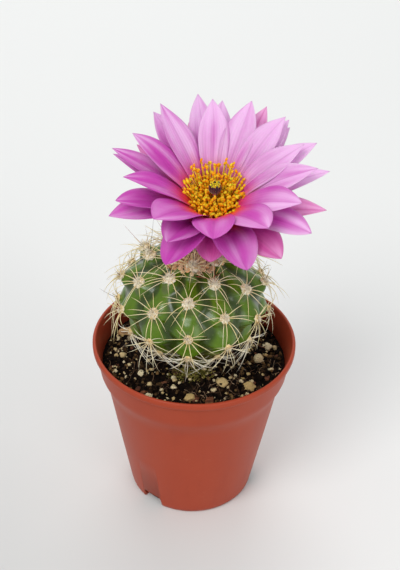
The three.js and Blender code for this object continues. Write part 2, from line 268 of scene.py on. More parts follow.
class Finish:
    """A material and its Principled shader; the fixed numbers go straight onto the shader."""

    def __init__(self, name, **fixed):
        self.material = bpy.data.materials.new(name)
        self.material.use_nodes = True
        self.tree = self.material.node_tree
        self.shader = self.tree.nodes["Principled BSDF"]
        for socket, value in fixed.items():
            self.shader.inputs[socket.replace("_", " ")].default_value = value

    def feed(self, socket, value):
        if isinstance(value, Signal):
            self.tree.links.new(value.socket, socket)
        elif isinstance(value, tuple) and len(value) == 3 and socket.type == "RGBA":
            socket.default_value = (*value, 1)
        else:
            socket.default_value = value

    def node(self, kind, settings=None, inputs=None, output=0):
        node = self.tree.nodes.new(kind)
        for key, value in (settings or {}).items():
            if key == "stops":
                self.set_stops(node.color_ramp, value)
            else:
                setattr(node, key, value)
        for key, value in (inputs or {}).items():
            self.feed(node.inputs[key], value)
        return Signal(self, node.outputs[output])

    def set_stops(self, ramp, stops):
        """Each stop is its place and a paint's red, green and blue."""
        while len(ramp.elements) < len(stops):
            ramp.elements.new(0.5)
        for element, (place, *colour) in zip(ramp.elements, stops):
            element.position = place
            element.color = (*paint(*colour), 1)

    def mark(self, name):
        return self.node("ShaderNodeAttribute", {"attribute_name": name}, output=2)

    def place(self):
        return self.node("ShaderNodeTexCoord", output=3)

    def stretched(self, x, y, z):
        settings = {"operation": "MULTIPLY"}
        return self.node("ShaderNodeVectorMath", settings, {0: self.place(), 1: (x, y, z)})

    def cloud(self, scale, detail=3.0, rough=0.55, where=None):
        inputs = {"Vector": where or self.place(), "Scale": scale, "Detail": detail, "Roughness": rough}
        return self.node("ShaderNodeTexNoise", None, inputs)

    def between(self, signal, low, high):
        """A soft step from 0 at low to 1 at high."""
        settings = {"interpolation_type": "SMOOTHSTEP"}
        return self.node("ShaderNodeMapRange", settings, {0: signal, 1: low, 2: high, 3: 0.0, 4: 1.0})

    def ramp(self, signal, stops):
        return self.node("ShaderNodeValToRGB", {"stops": stops}, {0: signal})

    def mix(self, share, first, second):
        return self.node("ShaderNodeMix", {"data_type": "RGBA"}, {0: share, 6: first, 7: second}, 2)

    def relief(self, height, depth_mm, strength=1.0):
        inputs = {"Height": height, "Distance": depth_mm * MM, "Strength": strength}
        self.feed(self.shader.inputs["Normal"], self.node("ShaderNodeBump", None, inputs))

    def wear(self, **sockets):
        for socket, value in sockets.items():
            self.feed(self.shader.inputs[socket.replace("_", " ")], value)


def paint(red, green, blue):
    """A colour as a paint chart gives it, 0 to 255, turned into the linear light a shader works in."""
    return tuple(
        c / 12.92 if c <= 0.04045 else ((c + 0.055) / 1.055) ** 2.4
        for c in (red / 255, green / 255, blue / 255)
    )


# %% [markdown]
# ## Camera, floor and light
# The plant is seen from above and in front, so the rim of the pot opens as an ellipse and the flower
# looks up at the viewer. The floor is a wide pale sheet. A big soft lamp at the upper left gives the
# gentle shadow to the right, a weaker one fills from the right, a third lights the floor behind, and a
# grey world does the rest.

# %% Camera
CAMERA_DISTANCE = 320
CAMERA_HEIGHT_ANGLE = math.radians(38.9)
CAMERA_ROLL = math.radians(1.6)
CAMERA_LENS = 74.5
CAMERA_AIM = Vector((1.16, 0, 67.6))
POT_HIGH = node_box("pot")[1]
rim_centre = Vector((0, 0, POT_HIGH[2]))
view_line = Vector((0, -math.cos(CAMERA_HEIGHT_ANGLE), math.sin(CAMERA_HEIGHT_ANGLE)))

camera_data = bpy.data.cameras.new("camera")
camera_data.lens = CAMERA_LENS
camera_data.clip_start = 0.01
camera = shown("camera", camera_data)
camera.location = (rim_centre + view_line * CAMERA_DISTANCE) * MM
camera.rotation_mode = "QUATERNION"
looking = (CAMERA_AIM * MM - camera.location).to_track_quat("-Z", "Y")
camera.rotation_quaternion = looking @ Quaternion((0, 0, 1), CAMERA_ROLL)
bpy.context.scene.camera = camera
bpy.context.scene.view_settings.view_transform = "Standard"
print("camera at", [round(c, 3) for c in camera.location])

# %% Floor
floor_finish = Finish("pale_floor", Roughness=0.7, Specular_IOR_Level=0.2)
# Painted shade: the flat sheet is painted a little greyer towards the near left.
FLOOR_SHADE_DIRECTION = (1.4, 1.0, 0.0)
reach = floor_finish.node("ShaderNodeVectorMath", {"operation": "DOT_PRODUCT"},
                          {0: floor_finish.place(), 1: FLOOR_SHADE_DIRECTION}, output=1)
floor_finish.wear(Base_Color=floor_finish.mix(
    floor_finish.between(reach, -0.22, 0.06), paint(192, 193, 191), paint(230, 231, 229)))
FLOOR_REACH = 3.0
floor_corners = [(-1, -1), (1, -1), (1, 1), (-1, 1)]
floor_mesh = bpy.data.meshes.new("floor")
floor_points = [(x * FLOOR_REACH, y * FLOOR_REACH, 0) for x, y in floor_corners]
floor_mesh.from_pydata(floor_points, [], [(0, 1, 2, 3)])
floor_mesh.materials.append(floor_finish.material)
floor = shown("floor", floor_mesh)


# %% Lights
def soft_lamp(name, place_mm, aim_mm, size_mm, power):
    lamp = bpy.data.lights.new(name, "AREA")
    lamp.shape = "DISK"
    lamp.size = size_mm * MM
    lamp.energy = power
    holder = shown(name, lamp)
    holder.location = Vector(place_mm) * MM
    holder.rotation_mode = "QUATERNION"
    holder.rotation_quaternion = (Vector(aim_mm) - Vector(place_mm)).to_track_quat("-Z", "Y")


soft_lamp("key_lamp", (-480, -700, 1080), (120, 60, 60), 700, 8.4)
soft_lamp("fill_lamp", (620, -900, 480), (0, 0, 60), 700, 2.9)
soft_lamp("back_lamp", (-60, 900, 800), (0, 640, 0), 900, 4.4)
world = bpy.data.worlds.new("studio")
world.use_nodes = True
backdrop = world.node_tree.nodes["Background"]
backdrop.inputs["Color"].default_value = (0.97, 0.98, 1.0, 1)
backdrop.inputs["Strength"].default_value = 0.56
bpy.context.scene.world = world
print("lights:", len(bpy.data.lights))

# %% [markdown]
# ## The pot
# A nursery pot is one thin moulding of satin plastic: a beaded rim, a straight collar, a soft step
# inward, a tapered wall and a foot with drain notches. A lathe of the real profile gives its smooth
# round silhouette, and a Boolean cuts the notches. The plastic is coloured right through, so its wear
# is only faint streaks and pale dust. The inside carries painted shade, and an inside mark tells where it is.

# %% Pot shape
POT_OUTER = [
    (0, 0), (16.4, 0), (17.0, 0.2), (17.4, 0.8), (17.65, 1.9), (20.6, 18.5), (23.45, 35.0), (23.75, 36.3),
    (24.1, 37.5), (24.75, 39.1), (25.3, 40.3), (25.6, 41.2), (25.75, 42.2), (26.4, 47.0), (26.52, 47.55),
    (26.75, 47.8), (27.2, 47.9), (27.45, 48.2), (27.5, 48.7), (27.5, 49.4), (27.35, 49.8), (27.05, 50),
]
POT_INNER = [
    (26.75, 49.95), (26.55, 49.7), (26.4, 49.2), (26.2, 48.4), (25.6, 46.6), (24.9, 42.0), (24.75, 41.0),
    (24.3, 39.6), (23.2, 37.0), (22.8, 35.6), (19.7, 18.5), (16.7, 1.6), (16.3, 1.3), (0, 1.3),
]
POT_SEGMENTS = 200
NOTCHES = (-38, 82, 202)
NOTCH_OUTLINE = [
    (-3.2, -1), (3.2, -1), (3.2, 2.4), (2.9, 3.4), (2.2, 4.0), (-2.2, 4.0), (-2.9, 3.4), (-3.2, 2.4),
]


def lathe(profile, segments):
    """Points and faces of a closed solid turned about Z."""
    turn = np.arange(segments) / segments * 360
    rows = [around(turn, radius, height) for radius, height in profile[1:-1]]
    return capped((0, 0, profile[0][1]), rows, (0, 0, profile[-1][1]))


def pot_bundle():
    """The pot; its inside mark rises from 0 to 1 over the first few rows inside the rim."""
    profile = POT_OUTER + POT_INNER
    rows = len(profile) - 2
    first = len(POT_OUTER)
    shares = [0.0] + [ease(first, first + 6, row) for row in range(rows)] + [1.0]
    bundle = Bundle()
    bundle.add(*lathe(profile, POT_SEGMENTS), inside=np.repeat(shares, [1] + [POT_SEGMENTS] * rows + [1]))
    return bundle


def cutter(azimuth):
    """A round-topped tunnel through the foot of the wall."""
    near, far = around(azimuth, 14.6), around(azimuth, 19.5)
    side = around(azimuth + 90)
    points = [base + side * x + np.array([0, 0, z]) for base in (near, far) for x, z in NOTCH_OUTLINE]
    corners = len(NOTCH_OUTLINE)
    ends = [tuple(range(corners))[::-1], tuple(range(corners, 2 * corners))]
    mesh = bpy.data.meshes.new("cutter")
    mesh.from_pydata((np.array(points) * MM).tolist(), [], ring_faces(2, corners) + ends)
    return shown("cutter", mesh)


# %% Pot finish
pot_finish = Finish("terracotta_plastic", Specular_IOR_Level=0.18, Coat_Weight=0.03, Coat_Roughness=0.25)
blotch = pot_finish.cloud(70, 4.0, 0.6)
speck = pot_finish.cloud(900, 2.0, 0.5)
streak = pot_finish.cloud(60, 3.0, 0.5, pot_finish.stretched(6.0, 6.0, 0.6))
pot_clay = pot_finish.mix(blotch, paint(160, 60, 35), paint(172, 72, 45))
pot_clay = pot_finish.mix(pot_finish.between(streak, 0.5, 0.8) * 0.25, pot_clay, paint(150, 56, 34))
dust = pot_finish.between(speck + blotch * 0.5, 0.92, 1.08) * 0.35
pot_clay = pot_finish.mix(dust, pot_clay, paint(178, 98, 74))
# Painted shade: the wall inside the rim is painted almost black-red.
inside = pot_finish.between(pot_finish.mark("inside"), 0.2, 1.0) * 0.75
pot_clay = pot_finish.mix(inside, pot_clay, paint(40, 10, 5))
pot_finish.wear(Base_Color=pot_clay, Roughness=0.38 + blotch * 0.12 + dust * 0.3)
pot_finish.relief(pot_finish.cloud(2600, 2.0, 0.6) * 0.5 + blotch, 0.05, 0.35)

# %% Pot piece
pot = make_piece("nursery_pot", pot_bundle(), pot_finish, ["pot"])
for notch_azimuth in NOTCHES:
    tool = cutter(notch_azimuth)
    cut = pot.modifiers.new("notch", "BOOLEAN")
    cut.object = tool
    cut.solver = "EXACT"
    finished = bpy.data.meshes.new_from_object(pot.evaluated_get(bpy.context.evaluated_depsgraph_get()))
    pot.modifiers.clear()
    pot.data = finished
    bpy.data.objects.remove(tool)
finished.name = "nursery_pot"
for polygon in finished.polygons:
    polygon.use_smooth = True
print("pot faces:", len(finished.polygons), "rim radius:", round(POT_HIGH[0], 1))

# %% [markdown]
# ## The soil
# Potting mix is dark peat with crumbs, bark, root hairs and pale pumice. A bumpy sheet gives the
# ground, and loose crumbs of many sizes lie half sunk in it, which breaks up its outline and casts the
# small shadows that make soil look like soil. Every crumb carries its own tone mark.

# %% Soil surface
SOIL_EDGE_HEIGHT = 42.6
SOIL_MOUND_HEIGHT = 46.4
SOIL_RADIUS = 24.95
SOIL_COLUMNS = 240
SOIL_ROWS = 84
rng = random.Random(7)


def soil_level(x, y):
    distance = np.hypot(x, y)
    mound = 1 - ease(9.5, 24.6, distance)
    return SOIL_EDGE_HEIGHT + (SOIL_MOUND_HEIGHT - SOIL_EDGE_HEIGHT) * mound


def soil_height(x, y):
    rough = noise.noise(Vector((x * 0.35, y * 0.35, 2.0))) * 0.9
    rough += noise.noise(Vector((x * 1.1, y * 1.1, 5.0))) * 0.75
    rough += noise.noise(Vector((x * 2.9, y * 2.9, 9.0))) * 0.35
    return float(soil_level(x, y)) + rough * float(0.35 + 0.65 * ease(24.9, 21.0, math.hypot(x, y)))


def soil_bundle():
    """The fill: up the pot's inner wall with a small gap, then in over the rough surface."""
    turn = np.arange(SOIL_COLUMNS) / SOIL_COLUMNS * 360
    rows = [around(turn, radius - 0.15, height + 0.2) for radius, height in POT_INNER[::-1][2:8]]
    for radius in np.linspace(SOIL_RADIUS, 0.6, SOIL_ROWS):
        spots = around(turn, radius)
        spots[:, 2] = [soil_height(x, y) for x, y, _ in spots]
        rows.append(spots)
    bundle = Bundle()
    bundle.add(*capped((0, 0, 1.6), rows, (0, 0, soil_height(0, 0))))
    return bundle


# %% Soil finish and piece
soil_finish = Finish("peaty_soil", Specular_IOR_Level=0.08)
clod = soil_finish.cloud(260, 6.0, 0.65)
grit = soil_finish.cloud(1500, 4.0, 0.7)
soil_colour = soil_finish.ramp(clod * 0.6 + grit * 0.4, [
    (0.38, 7, 3, 2), (0.52, 18, 10, 7), (0.62, 46, 32, 20), (0.74, 110, 84, 54)])
soil_finish.wear(Base_Color=soil_colour, Roughness=0.82 + grit * 0.15)
soil_finish.relief(clod + grit * 0.6, 0.8, 0.9)
make_piece("potting_soil", soil_bundle(), soil_finish, ["soil"])

# %% Crumbs, grit and bark
NECK_CLEARANCE = 8.0
CRUMB_REACH = 24.2
SMALL_BALL = ball(2)
CRUMB_SHAPES = [lump(SMALL_BALL[0], seed, 0.42, 1.3) for seed in range(14)]


def jitter(most):
    return rng.uniform(-most, most)


def random_vector(spread=1.0):
    return np.array([rng.gauss(0, spread) for _ in range(3)])


def soil_spot():
    """A random spot on the open ring of soil, spread evenly by area."""
    distance = math.sqrt(rng.uniform(NECK_CLEARANCE ** 2, CRUMB_REACH ** 2))
    x, y, _ = around(rng.uniform(0, 360), distance)
    return float(x), float(y)


def scatter(count, sizes, flatness, lift):
    """Many crumbs, each one of the shapes at its own size, turn and tilt, partly sunk in the soil."""
    bundle = Bundle()
    for _ in range(count):
        x, y = soil_spot()
        size = rng.uniform(*sizes) * rng.uniform(0.6, 1.0)
        shape = CRUMB_SHAPES[rng.randrange(len(CRUMB_SHAPES))]
        shape = shape * np.array([1, rng.uniform(0.55, 0.95), flatness]) * size
        tilt = unit((jitter(0.5), jitter(0.5), 1))
        shape = turned(shape, tilt, rng.uniform(0, 6.28))
        spot = np.array([x, y, soil_height(x, y) + size * flatness * lift])
        bundle.add(shape + spot, SMALL_BALL[1], tone=rng.random())
    return bundle


crumb_finish = Finish("peat_crumbs", Specular_IOR_Level=0.1)
crumb_tone = crumb_finish.mark("tone")
crumb_colour = crumb_finish.ramp(crumb_tone * 0.8 + crumb_finish.cloud(900) * 0.3, [
    (0.1, 6, 3, 2), (0.55, 22, 13, 8), (0.8, 62, 44, 27), (1.0, 136, 106, 66)])
crumb_finish.wear(Base_Color=crumb_colour, Roughness=0.75 + crumb_tone * 0.2)
crumb_finish.relief(crumb_finish.cloud(2200, 4.0, 0.7), 0.25, 0.8)
PEAT_CRUMBS = 2300
make_piece("peat_crumbs", scatter(PEAT_CRUMBS, (0.2, 0.85), 0.75, 0.15), crumb_finish)

bark_finish = Finish("bark", Specular_IOR_Level=0.3)
bark_grain = bark_finish.cloud(260, 5.0, 0.6, bark_finish.stretched(1.0, 4.0, 1.0))
bark_colour = bark_finish.ramp(bark_grain, [
    (0.3, 52, 28, 18), (0.5, 98, 55, 34), (0.7, 146, 92, 58)])
bark_finish.wear(Base_Color=bark_colour, Roughness=0.7 + bark_grain * 0.2)
bark_finish.relief(bark_grain, 0.5, 0.9)
BARK_CRUMBS = 60
make_piece("bark_crumbs", scatter(BARK_CRUMBS, (0.45, 1.3), 0.5, 0.25), bark_finish)

stone_finish = Finish("pumice", Specular_IOR_Level=0.35)
pore = stone_finish.cloud(1900, 4.0, 0.7)
stone_tone = stone_finish.mark("tone")
stone_colour = stone_finish.mix(stone_tone, paint(196, 166, 104), paint(232, 218, 178))
pit = stone_finish.between(pore, 0.5, 0.32) * 0.6
stone_colour = stone_finish.mix(pit, stone_colour, paint(120, 92, 62))
stone_finish.wear(Base_Color=stone_colour, Roughness=0.7 + pore * 0.2)
stone_finish.relief(pore, 0.3, 0.8)
GRIT_GRAINS = 360
make_piece("pumice_grit", scatter(GRIT_GRAINS, (0.14, 0.78), 0.75, 0.45), stone_finish)

# %% Named stones and chips
FINE_BALL = ball(4)


def stone_in(node, seed, finish, rough):
    """A broken stone, a little larger than the box of its CAD node."""
    low, high = node_box(node)
    shape = lump(FINE_BALL[0], seed, rough, 0.95)
    shape = lump(shape, seed + 40, 0.07, 4.5)
    for _ in range(5):
        facet = unit(random_vector())
        cut = shape @ facet
        limit = rng.uniform(0.62, 0.85)
        shape = shape - np.outer(np.clip(cut - limit, 0, None) * 0.85, facet)
    shape = (shape - (shape.max(0) + shape.min(0)) / 2) / (shape.max(0) - shape.min(0))
    bundle = Bundle()
    bundle.add(shape * (high - low) * 1.08 + (low + high) / 2, FINE_BALL[1], tone=rng.random())
    make_piece("fine_" + node, bundle, finish, [node])


for seed, node in enumerate(nodes_named("pumice")):
    stone_in(node, seed, stone_finish, 0.2)
for seed, node in enumerate(nodes_named("bark_chip")):
    stone_in(node, seed + 20, bark_finish, 0.3)

# %% Dry husk
husk_finish = Finish("dry_husk", Specular_IOR_Level=0.35)
husk_grain = husk_finish.cloud(420, 4.0, 0.6, husk_finish.stretched(1.0, 1.0, 5.0))
husk_finish.wear(Roughness=0.6 + husk_grain * 0.2, Base_Color=husk_finish.ramp(husk_grain, [
    (0.3, 112, 80, 48), (0.5, 176, 138, 92), (0.7, 214, 184, 138)]))
husk_finish.relief(husk_grain, 0.3, 0.7)
HUSK_ROWS = 30
HUSK_ACROSS = 9


def husk_bundle():
    """A curled strip of skin with ragged ends, thick enough to be a solid."""
    low, high = node_box("dry_husk")
    points = []
    for lift in (0.0, 0.22):
        for share in np.linspace(0, 1, HUSK_ROWS):
            angle = math.radians(-60 + 225 * share)
            radius = 2.3 + lift + 0.25 * math.sin(share * 9)
            width = 1.25 * math.sin(math.pi * (0.12 + 0.8 * share)) ** 0.6
            for u in np.linspace(-1, 1, HUSK_ACROSS):
                ragged = 0.25 * noise.noise(Vector((share * 7, u * 2, 1)))
                reach = radius - 0.35 * u * u
                points.append((math.cos(angle) * reach, u * width + ragged, math.sin(angle) * reach))
    tilt = np.array(Quaternion((1, 0.2, 0.3), 0.5).to_matrix())
    centre = (low + high) / 2 - np.array([0, 0, 0.5])
    bundle = Bundle()
    bundle.add(np.array(points) @ tilt.T + centre, sheet_faces(HUSK_ROWS, HUSK_ACROSS))
    return bundle


make_piece("curled_husk", husk_bundle(), husk_finish, ["dry_husk"])

# %% Root hairs lying on the soil
fibre_finish = Finish("root_hairs", Specular_IOR_Level=0.3)
fibre_finish.wear(Roughness=0.8, Base_Color=fibre_finish.ramp(fibre_finish.mark("tone"), [
    (0.0, 70, 48, 34), (0.6, 124, 94, 68), (1.0, 190, 166, 136)]))
ROOT_HAIRS = 130
HAIR_STEP = 0.75
fibres = Bundle()
for _ in range(ROOT_HAIRS):
    x, y = soil_spot()
    heading = rng.uniform(0, 6.28)
    bend = jitter(0.22)
    path = []
    for _ in range(rng.randrange(6, 13)):
        if math.hypot(x, y) < 24.4:
            path.append((x, y, soil_height(x, y) + rng.uniform(0.1, 0.75)))
        heading += bend + jitter(0.3)
        x += math.cos(heading) * HAIR_STEP
        y += math.sin(heading) * HAIR_STEP
    if len(path) > 3:
        thick = rng.uniform(0.05, 0.13)
        fibres.add(*tube(path, np.linspace(thick, thick * 0.5, len(path)), 4), tone=rng.random())
make_piece("root_hairs", fibres, fibre_finish)

# %% Moss
moss_finish = Finish("moss", Specular_IOR_Level=0.2)
moss_finish.wear(Roughness=0.85, Base_Color=moss_finish.ramp(moss_finish.mark("tone"), [
    (0.0, 66, 62, 24), (0.5, 118, 112, 44), (1.0, 170, 158, 84)]))
MOSS_LOW, MOSS_HIGH = node_box("moss_cushion")
MOSS_SHOOTS = 420
moss = Bundle()
for _ in range(MOSS_SHOOTS):
    u, v = rng.gauss(0, 0.42), rng.gauss(0, 0.42)
    if u * u + v * v > 1:
        continue
    x, y, _ = (MOSS_LOW + MOSS_HIGH) / 2 + (MOSS_HIGH - MOSS_LOW) / 2 * np.array([u, v, 0])
    foot = np.array([x, y, soil_height(x, y) - 0.1])
    lean = np.array([rng.gauss(0, 0.5), rng.gauss(0, 0.5) - 0.2, 1.0])
    reach = rng.uniform(0.5, 1.2)
    path = [foot, foot + lean * reach * 0.5, foot + lean * reach * np.array([1.3, 1.3, 0.9])]
    moss.add(*tube(path, (0.16, 0.15, 0.05), 4), tone=rng.random())
make_piece("moss_cushion_fine", moss, moss_finish, ["moss_cushion"])

# %% [markdown]
# ## The cactus body
# The body is one solid: a squat globe with twelve ribs, each rib a row of rounded tubercles that are
# staggered against the next rib's. A formula in azimuth and latitude gives that exactly and can be
# sampled as finely as needed. The skin is waxy, so it carries soft highlights, with a grey bloom in
# patches and painted shade, darker green, down in the furrows.

# %% Body shape
BODY_LOW, BODY_HIGH = node_box("cactus_stem")
BODY_RADIUS = (BODY_HIGH[0] - BODY_LOW[0]) / 2 - 0.5
BODY_HALF_HEIGHT = 13.5
BODY_MIDDLE = (BODY_LOW + BODY_HIGH) / 2
BODY_CENTRE = np.array([BODY_MIDDLE[0], BODY_MIDDLE[1], BODY_HIGH[2] - 12.55])
RIBS = 12
RIB_TURN = -3.5
TUBERCLE_TURN = 11
NECK_RADIUS = 8.2
NECK_ROWS = ((NECK_RADIUS - 1.2, 43.4), (NECK_RADIUS - 0.3, 46.5), (NECK_RADIUS, 49.2))
BODY_ROWS = 118
COLUMNS_PER_RIB = 26


def body_swell(azimuth, latitude):
    """How far the skin stands out from the globe, how deep in a furrow it is, and how near a chin."""
    pitch = 360 / RIBS
    beat = np.radians((latitude - 6) * TUBERCLE_TURN)
    # A rib is widest at its tubercles, so the furrow beside it goes from side to side.
    off_even = np.abs((azimuth - RIB_TURN + pitch) % (2 * pitch) - pitch)
    edge = pitch * (0.5 + 0.12 * np.cos(beat))
    even = off_even < edge
    across = np.cos(math.pi * np.where(even, off_even / edge, (pitch - off_even) / (pitch - edge)))
    side = ease(-74, -34, latitude) * (1 - ease(66, 90, latitude))
    phase = beat + np.where(even, 0, math.pi)
    along = np.cos(phase) - 0.3 * np.sin(2 * phase)
    valley = ((1 - across) / 2) ** 1.35
    crest = ((1 + across) / 2) ** 0.8
    wobble = 0.25 * np.sin(np.radians(azimuth * 5 + latitude * 3))
    wobble = wobble + 0.18 * np.cos(np.radians(azimuth * 3 - 40))
    swell = side * (along * crest - 1.2 * valley + 0.25) + wobble * side
    chin = side * crest * (1 + np.cos(phase + math.radians(95))) / 2
    return swell, valley * side, chin


def body_point(azimuth, latitude):
    swell = body_swell(azimuth, latitude)[0]
    dish = 0.7 * ease(70, 90, latitude)
    radius = (BODY_RADIUS + swell) * np.cos(np.radians(latitude))
    height = (BODY_HALF_HEIGHT + swell * 0.5 - dish) * np.sin(np.radians(latitude))
    return around(azimuth, radius, height) + BODY_CENTRE


def body_bundle():
    """The neck's rings and the globe's, with furrow, chin and rise marks for the skin."""
    columns = RIBS * COLUMNS_PER_RIB
    turn = np.arange(columns) / columns * 360
    plan = BODY_CENTRE * np.array([1, 1, 0])
    rows, marks = [], []
    for radius, height in NECK_ROWS:
        rows.append(around(turn, radius, height) + plan)
        marks.append(np.array([np.full(columns, 0.8), np.zeros(columns)]))
    for latitude in np.linspace(-62, 88, BODY_ROWS):
        rows.append(body_point(turn, np.full(columns, latitude)))
        marks.append(np.array(body_swell(turn, np.full(columns, latitude))[1:]))
    foot = plan + np.array([0, 0, NECK_ROWS[0][1] - 0.1])
    crown = BODY_CENTRE + np.array([0, 0, BODY_HALF_HEIGHT - 0.75])
    points, faces = capped(foot, rows, crown)
    height = (points[:, 2] - BODY_LOW[2]) / (BODY_HIGH[2] - BODY_LOW[2])
    furrow, chin = np.concatenate([[[0.8], [0.0]], *marks, [[0.3], [0.0]]], 1)
    bundle = Bundle()
    bundle.add(points, faces, furrow=furrow, chin=chin, rise=height)
    return bundle


# %% Skin finish and body piece
skin_finish = Finish("waxy_skin", Specular_IOR_Level=0.35, Coat_Weight=0.3, Coat_Roughness=0.14,
                     Subsurface_Weight=0.08, Subsurface_Scale=0.0012)
skin_finish.shader.inputs["Subsurface Radius"].default_value = (0.5, 1.0, 0.2)
furrow = skin_finish.mark("furrow")
chin = skin_finish.mark("chin")
rise = skin_finish.mark("rise")
mottle = skin_finish.cloud(110, 4.0, 0.6)
fleck = skin_finish.cloud(1400, 3.0, 0.6)
skin_colour = skin_finish.mix(mottle, paint(38, 80, 0), paint(106, 138, 8))
bloom = skin_finish.between(chin + mottle * 0.5, 0.75, 1.25) * 0.65
skin_colour = skin_finish.mix(bloom, skin_colour, paint(92, 98, 62))
# Painted shade: the furrows between the ribs are painted darker green.
shade = skin_finish.between(furrow, 0.25, 0.95) * 0.8
skin_colour = skin_finish.mix(shade, skin_colour, paint(30, 46, 8))
cork = skin_finish.between(rise + mottle * 0.3, 0.62, 0.44) * 0.85
skin_colour = skin_finish.mix(cork, skin_colour, paint(96, 90, 26))
dots = skin_finish.between(fleck, 0.62, 0.72) * 0.3
skin_colour = skin_finish.mix(dots, skin_colour, paint(126, 150, 76))
skin_finish.wear(Base_Color=skin_colour, Roughness=0.24 + bloom * 0.35 + cork * 0.4 + mottle * 0.12)
skin_finish.relief(fleck * 0.4 + mottle + skin_finish.cloud(420, 4.0) * 0.6, 0.2, 0.5)
make_piece("ribbed_body", body_bundle(), skin_finish, ["cactus_stem"])

# %% [markdown]
# ## Areoles and spines
# A cactus has cushions called areoles, one on each tubercle: a tuft of cream wool with spines fanned
# round it. Each tuft is a soft lump under short curved hairs, and each spine is a fine tapered tube that
# lifts off the skin and bends back along it. Low spines hang over the soil like a skirt; the dark ones
# stand up round the crown.

# %% Areole sites
AREOLE_STEP = 360 / TUBERCLE_TURN


def skin_frame(azimuth, latitude):
    """Point, outward normal, direction to the crown, and sideways direction on the skin."""
    here = body_point(azimuth, latitude)
    east = unit(body_point(azimuth + 1, latitude) - body_point(azimuth - 1, latitude))
    north = unit(body_point(azimuth, latitude + 1.5) - body_point(azimuth, latitude - 1.5))
    # Halfway between the bumpy skin's normal and that of a smooth globe.
    smooth = (here - BODY_CENTRE) / np.array([BODY_RADIUS ** 2, BODY_RADIUS ** 2, BODY_HALF_HEIGHT ** 2])
    normal = unit(unit(np.cross(east, north)) + unit(smooth))
    north = unit(north - normal * (north @ normal))
    return here, normal, north, np.cross(normal, north) * -1


areoles = []
for rib_index in range(RIBS):
    top = 6 + AREOLE_STEP * (2 if rib_index % 2 == 0 else 1.5)
    for step in range(5):
        latitude = top - AREOLE_STEP * step
        if latitude > -62:
            azimuth = RIB_TURN + rib_index * 360 / RIBS + jitter(1)
            areoles.append((azimuth, latitude + jitter(1.5)))
print("areoles:", len(areoles))


# %% Wool tufts
wool_finish = Finish("areole_wool", Specular_IOR_Level=0.15, Sheen_Weight=0.3, Sheen_Roughness=0.5)
wool_tone = wool_finish.mark("tone")
wool_colour = wool_finish.ramp(wool_tone * 0.8 + wool_finish.cloud(1600) * 0.3, [
    (0.1, 220, 160, 72), (0.4, 250, 218, 152), (0.75, 255, 248, 224)])
wool_finish.wear(Base_Color=wool_colour, Roughness=0.9)
wool_finish.relief(wool_finish.cloud(3000, 3.0, 0.7), 0.2, 0.8)
TUFT_BALL = ball(3)


def add_tuft(bundle, centre, normal, size, hairs, tone, flat):
    """A soft lump of wool under curled hairs."""
    shape = lump(TUFT_BALL[0], rng.uniform(0, 90), 0.22, 2.2) * np.array([size, size, size * flat])
    bundle.add(turned(shape, normal, rng.uniform(0, 6)) + centre, TUFT_BALL[1], tone=tone * 0.75)
    for _ in range(hairs):
        direction = unit(random_vector() + np.asarray(normal) * 1.1)
        if direction @ normal < -0.1:
            continue
        foot = centre + direction * size * 0.7
        curl = unit(random_vector())
        reach = size * rng.uniform(0.4, 0.75)
        middle = foot + direction * reach * 0.6 + curl * reach * 0.15
        path = [foot, middle, foot + direction * reach * 0.8 + curl * reach * 0.6]
        bundle.add(*tube(path, (0.07, 0.06, 0.03), 3), tone=min(1, max(0, rng.gauss(tone, 0.2))))


tufts = Bundle()
areole_frames = []
for azimuth, latitude in areoles:
    here, normal, north, east = skin_frame(azimuth, latitude)
    size = 0.8 + 0.85 * float(ease(-30, 70, latitude)) + jitter(0.1)
    areole_frames.append((azimuth, latitude, here, normal, north, east, size))
    paleness = 0.58 + 0.4 * float(ease(-20, 50, latitude))
    add_tuft(tufts, here + normal * 0.1, normal, size, 80, paleness, 0.5)
    add_tuft(tufts, here + north * size * 0.45 + normal * 0.15, normal, size * 0.7, 40, paleness - 0.2, 0.6)
make_piece("areole_wool", tufts, wool_finish)


# %% Spines
SPINE_TAPER = np.array([1.0, 0.95, 0.88, 0.78, 0.62, 0.42, 0.12])


def spine_path(foot, direction, sink, length, droop=0.0):
    """A spine leaves along direction and bends towards sink, and down a little if it droops."""
    share = np.linspace(0, 1, len(SPINE_TAPER))[:, None]
    path = foot + direction * share * length + np.asarray(sink) * (share ** 2) * length
    return path - np.array([0, 0, 1]) * (share ** 2) * droop * length


pale_finish = Finish("pale_spines", Specular_IOR_Level=0.5, Roughness=0.4)
pale_tone = pale_finish.mark("tone")
pale_tip = pale_finish.mark("along")
pale_colour = pale_finish.mix(pale_tone, paint(232, 212, 134), paint(250, 244, 226))
tip_tint = pale_finish.between(pale_tip, 0.75, 1.0) * (1 - pale_tone) * 0.7
pale_colour = pale_finish.mix(tip_tint, pale_colour, paint(138, 96, 48))
foot_tint = pale_finish.between(pale_tip, 0.35, 0.0) * 0.7
pale_colour = pale_finish.mix(foot_tint, pale_colour, paint(204, 156, 66))
pale_finish.wear(Base_Color=pale_colour)
dark_finish = Finish("dark_spines", Specular_IOR_Level=0.5, Roughness=0.4)
dark_colour = dark_finish.mix(dark_finish.mark("tone"), paint(38, 24, 20), paint(176, 82, 50))
dark_finish.wear(Base_Color=dark_colour)

pale, dark = Bundle(), Bundle()


def add_spine(bundle, foot, direction, sink, length, thick, tone, droop=0.0):
    points, faces = tube(spine_path(foot, direction, sink, length, droop), thick * SPINE_TAPER)
    bundle.add(points, faces, tone=tone, along=np.repeat(np.linspace(0, 1, len(SPINE_TAPER)), 5))


